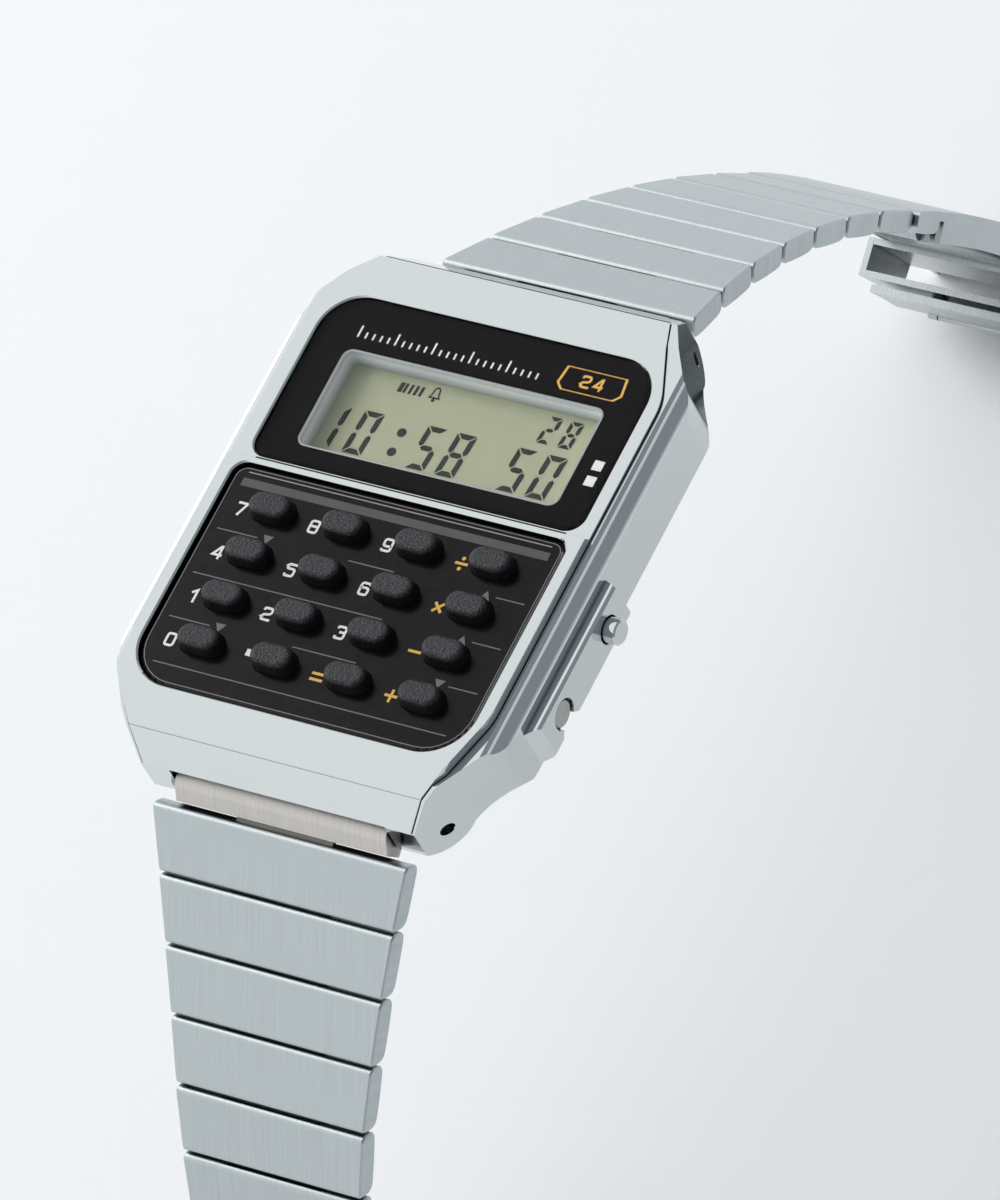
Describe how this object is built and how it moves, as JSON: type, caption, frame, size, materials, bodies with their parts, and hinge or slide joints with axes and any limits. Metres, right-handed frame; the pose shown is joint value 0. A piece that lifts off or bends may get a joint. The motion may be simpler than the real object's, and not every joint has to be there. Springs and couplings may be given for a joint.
{
  "type": "calculator watch",
  "caption": "Rectangular digital calculator watch with a sixteen-key pad under the display, side buttons and a tapered folded-link steel bracelet with a folding clasp.",
  "frame": {"origin": "centre of the case back's flat outer face", "axes": "+Z out of the dial, +Y towards 12 o'clock, +X towards 3 o'clock and the side buttons"},
  "size_m": [0.0345, 0.1117, 0.0609],
  "materials": {
    "polished_steel": "polished",
    "brushed_steel": "brushed along the strand",
    "black_print": "gloss black",
    "key_rubber": "fine grained matt grey",
    "window": "clear",
    "display": "grey-green polariser",
    "silvered": "silvered",
    "board": "green lacquer",
    "carrier": "moulded",
    "seal": "matt",
    "contact": "matt",
    "cell": "satin",
    "clip": "plain"
  },
  "bodies": {
    "case": {"case_body": "polished_steel", "front_frame": "polished_steel", "display_window": "window", "display_bezel": "silvered", "lcd_panel": "display", "keypad_plate": "black_print", "key_membrane": "contact", "module_frame": "carrier", "circuit_board": "board", "contact_strips": "contact", "coin_cell": "cell", "cell_clip": "clip", "case_gasket": "seal", "case_back": "brushed_steel", "case_screws": "cell", "spring_bars": "cell"},
    "key_7": {"key_7": "key_rubber"},
    "key_8": {"key_8": "key_rubber"},
    "key_9": {"key_9": "key_rubber"},
    "key_divide": {"key_divide": "key_rubber"},
    "key_4": {"key_4": "key_rubber"},
    "key_5": {"key_5": "key_rubber"},
    "key_6": {"key_6": "key_rubber"},
    "key_times": {"key_times": "key_rubber"},
    "key_1": {"key_1": "key_rubber"},
    "key_2": {"key_2": "key_rubber"},
    "key_3": {"key_3": "key_rubber"},
    "key_minus": {"key_minus": "key_rubber"},
    "key_0": {"key_0": "key_rubber"},
    "key_point": {"key_point": "key_rubber"},
    "key_equals": {"key_equals": "key_rubber"},
    "key_plus": {"key_plus": "key_rubber"},
    "mode_button": {"mode_button": "polished_steel"},
    "adjust_button": {"adjust_button": "polished_steel"},
    "end_link_12": {"end_link_12": "brushed_steel"},
    "link_12_01": {"link_12_01": "brushed_steel"},
    "link_12_02": {"link_12_02": "brushed_steel"},
    "link_12_03": {"link_12_03": "brushed_steel"},
    "link_12_04": {"link_12_04": "brushed_steel"},
    "link_12_05": {"link_12_05": "brushed_steel"},
    "link_12_06": {"link_12_06": "brushed_steel"},
    "link_12_07": {"link_12_07": "brushed_steel"},
    "end_link_6": {"end_link_6": "brushed_steel"},
    "link_6_01": {"link_6_01": "brushed_steel"},
    "link_6_02": {"link_6_02": "brushed_steel"},
    "link_6_03": {"link_6_03": "brushed_steel"},
    "link_6_04": {"link_6_04": "brushed_steel"},
    "link_6_05": {"link_6_05": "brushed_steel"},
    "link_6_06": {"link_6_06": "brushed_steel"},
    "link_6_07": {"link_6_07": "brushed_steel"},
    "link_6_08": {"link_6_08": "brushed_steel"},
    "link_6_09": {"link_6_09": "brushed_steel"},
    "link_6_10": {"link_6_10": "brushed_steel"},
    "link_6_11": {"link_6_11": "brushed_steel"},
    "link_6_12": {"link_6_12": "brushed_steel"},
    "clasp_cover": {"clasp_cover": "brushed_steel"},
    "clasp_middle_blade": {"clasp_middle_blade": "brushed_steel"},
    "clasp_inner_blade": {"clasp_inner_blade": "brushed_steel", "slide_lock": "brushed_steel"},
    "lock_flap": {"lock_flap": "brushed_steel"}
  },
  "joints": [
    {"name": "cover_to_middle_blade", "type": "hinge", "parent": "clasp_cover", "child": "clasp_middle_blade", "pos_m": [0, 0.06056, -0.05069], "axis": [-1, 0, 0], "range_deg": [-165, 0]},
    {"name": "middle_to_inner_blade", "type": "hinge", "parent": "clasp_middle_blade", "child": "clasp_inner_blade", "pos_m": [0, 0.05014, -0.02826], "axis": [1, 0, 0], "range_deg": [-140, 0]},
    {"name": "lock_flap_swing", "type": "hinge", "parent": "clasp_inner_blade", "child": "lock_flap", "pos_m": [0, 0.05469, -0.04874], "axis": [-1, 0, 0], "range_deg": [-100, 0]},
    {"name": "mode_press", "type": "slide", "parent": "case", "child": "mode_button", "axis": [-1, 0, 0], "range_m": [0, 0.0006], "stiffness_N_per_m": 2500},
    {"name": "adjust_press", "type": "slide", "parent": "case", "child": "adjust_button", "axis": [-1, 0, 0], "range_m": [0, 0.0006], "stiffness_N_per_m": 2500},
    {"name": "lug_to_end_link_12", "type": "hinge", "parent": "case", "child": "end_link_12", "pos_m": [0, 0.0198, 0.00195], "axis": [-1, 0, 0], "range_deg": [-4.5, 12.2]},
    {"name": "lug_to_end_link_6", "type": "hinge", "parent": "case", "child": "end_link_6", "pos_m": [0, -0.0198, 0.00195], "axis": [1, 0, 0], "range_deg": [-11, 3.4]},
    {"name": "press_5", "type": "slide", "parent": "case", "child": "key_5", "axis": [0, 0, -1], "range_m": [0, 0.00035], "stiffness_N_per_m": 3000},
    {"name": "press_equals", "type": "slide", "parent": "case", "child": "key_equals", "axis": [0, 0, -1], "range_m": [0, 0.00035], "stiffness_N_per_m": 3000},
    {"name": "fold_12_01", "type": "hinge", "parent": "end_link_12", "child": "link_12_01", "pos_m": [0, 0.02331, 0.0005], "axis": [-1, 0, 0], "range_deg": [-11, 2.8]},
    {"name": "fold_12_02", "type": "hinge", "parent": "link_12_01", "child": "link_12_02", "pos_m": [0, 0.02756, -0.00232], "axis": [-1, 0, 0], "range_deg": [-3.6, 10.2]},
    {"name": "fold_12_03", "type": "hinge", "parent": "link_12_02", "child": "link_12_03", "pos_m": [0, 0.03163, -0.0054], "axis": [-1, 0, 0], "range_deg": [-3.6, 10.2]},
    {"name": "fold_12_04", "type": "hinge", "parent": "link_12_03", "child": "link_12_04", "pos_m": [0, 0.0355, -0.00872], "axis": [-1, 0, 0], "range_deg": [-3.6, 10.2]},
    {"name": "fold_12_05", "type": "hinge", "parent": "link_12_04", "child": "link_12_05", "pos_m": [0, 0.03915, -0.01228], "axis": [-1, 0, 0], "range_deg": [-3.6, 10.2]},
    {"name": "fold_12_06", "type": "hinge", "parent": "link_12_05", "child": "link_12_06", "pos_m": [0, 0.04257, -0.01607], "axis": [-1, 0, 0], "range_deg": [-3.6, 10.2]},
    {"name": "fold_12_07", "type": "hinge", "parent": "link_12_06", "child": "link_12_07", "pos_m": [0, 0.04574, -0.02006], "axis": [-1, 0, 0], "range_deg": [-3.6, 10.2]},
    {"name": "link_to_clasp_cover", "type": "hinge", "parent": "link_12_07", "child": "clasp_cover", "pos_m": [0, 0.04866, -0.02424], "axis": [-1, 0, 0], "range_deg": [-0.5, 12]},
    {"name": "fold_6_01", "type": "hinge", "parent": "end_link_6", "child": "link_6_01", "pos_m": [0, -0.0231, 0.00007], "axis": [1, 0, 0], "range_deg": [-17.4, 1]},
    {"name": "fold_6_02", "type": "hinge", "parent": "link_6_01", "child": "link_6_02", "pos_m": [0, -0.02658, -0.00366], "axis": [1, 0, 0], "range_deg": [-1, 10.8]},
    {"name": "fold_6_03", "type": "hinge", "parent": "link_6_02", "child": "link_6_03", "pos_m": [0, -0.02999, -0.00745], "axis": [1, 0, 0], "range_deg": [-1, 10.8]},
    {"name": "fold_6_04", "type": "hinge", "parent": "link_6_03", "child": "link_6_04", "pos_m": [0, -0.03334, -0.0113], "axis": [1, 0, 0], "range_deg": [-1, 10.8]},
    {"name": "fold_6_05", "type": "hinge", "parent": "link_6_04", "child": "link_6_05", "pos_m": [0, -0.03662, -0.0152], "axis": [1, 0, 0], "range_deg": [-5, 6.8]},
    {"name": "fold_6_06", "type": "hinge", "parent": "link_6_05", "child": "link_6_06", "pos_m": [0, -0.03954, -0.01938], "axis": [1, 0, 0], "range_deg": [-5, 6.8]},
    {"name": "fold_6_07", "type": "hinge", "parent": "link_6_06", "child": "link_6_07", "pos_m": [0, -0.04209, -0.0238], "axis": [1, 0, 0], "range_deg": [-5, 6.8]},
    {"name": "fold_6_08", "type": "hinge", "parent": "link_6_07", "child": "link_6_08", "pos_m": [0, -0.04425, -0.02842], "axis": [1, 0, 0], "range_deg": [-5, 6.8]},
    {"name": "fold_6_09", "type": "hinge", "parent": "link_6_08", "child": "link_6_09", "pos_m": [0, -0.04599, -0.03321], "axis": [1, 0, 0], "range_deg": [-5, 6.8]},
    {"name": "fold_6_10", "type": "hinge", "parent": "link_6_09", "child": "link_6_10", "pos_m": [0, -0.04731, -0.03814], "axis": [1, 0, 0], "range_deg": [-5, 6.8]},
    {"name": "fold_6_11", "type": "hinge", "parent": "link_6_10", "child": "link_6_11", "pos_m": [0, -0.0482, -0.04316], "axis": [1, 0, 0], "range_deg": [-5, 6.8]},
    {"name": "fold_6_12", "type": "hinge", "parent": "link_6_11", "child": "link_6_12", "pos_m": [0, -0.04864, -0.04824], "axis": [1, 0, 0], "range_deg": [-5, 6.8]},
    {"name": "press_7", "type": "slide", "parent": "case", "child": "key_7", "axis": [0, 0, -1], "range_m": [0, 0.00035], "stiffness_N_per_m": 3000},
    {"name": "press_8", "type": "slide", "parent": "case", "child": "key_8", "axis": [0, 0, -1], "range_m": [0, 0.00035], "stiffness_N_per_m": 3000},
    {"name": "press_9", "type": "slide", "parent": "case", "child": "key_9", "axis": [0, 0, -1], "range_m": [0, 0.00035], "stiffness_N_per_m": 3000},
    {"name": "press_divide", "type": "slide", "parent": "case", "child": "key_divide", "axis": [0, 0, -1], "range_m": [0, 0.00035], "stiffness_N_per_m": 3000},
    {"name": "press_4", "type": "slide", "parent": "case", "child": "key_4", "axis": [0, 0, -1], "range_m": [0, 0.00035], "stiffness_N_per_m": 3000},
    {"name": "press_6", "type": "slide", "parent": "case", "child": "key_6", "axis": [0, 0, -1], "range_m": [0, 0.00035], "stiffness_N_per_m": 3000},
    {"name": "press_times", "type": "slide", "parent": "case", "child": "key_times", "axis": [0, 0, -1], "range_m": [0, 0.00035], "stiffness_N_per_m": 3000},
    {"name": "press_1", "type": "slide", "parent": "case", "child": "key_1", "axis": [0, 0, -1], "range_m": [0, 0.00035], "stiffness_N_per_m": 3000},
    {"name": "press_2", "type": "slide", "parent": "case", "child": "key_2", "axis": [0, 0, -1], "range_m": [0, 0.00035], "stiffness_N_per_m": 3000},
    {"name": "press_3", "type": "slide", "parent": "case", "child": "key_3", "axis": [0, 0, -1], "range_m": [0, 0.00035], "stiffness_N_per_m": 3000},
    {"name": "press_minus", "type": "slide", "parent": "case", "child": "key_minus", "axis": [0, 0, -1], "range_m": [0, 0.00035], "stiffness_N_per_m": 3000},
    {"name": "press_0", "type": "slide", "parent": "case", "child": "key_0", "axis": [0, 0, -1], "range_m": [0, 0.00035], "stiffness_N_per_m": 3000},
    {"name": "press_point", "type": "slide", "parent": "case", "child": "key_point", "axis": [0, 0, -1], "range_m": [0, 0.00035], "stiffness_N_per_m": 3000},
    {"name": "press_plus", "type": "slide", "parent": "case", "child": "key_plus", "axis": [0, 0, -1], "range_m": [0, 0.00035], "stiffness_N_per_m": 3000}
  ]
}
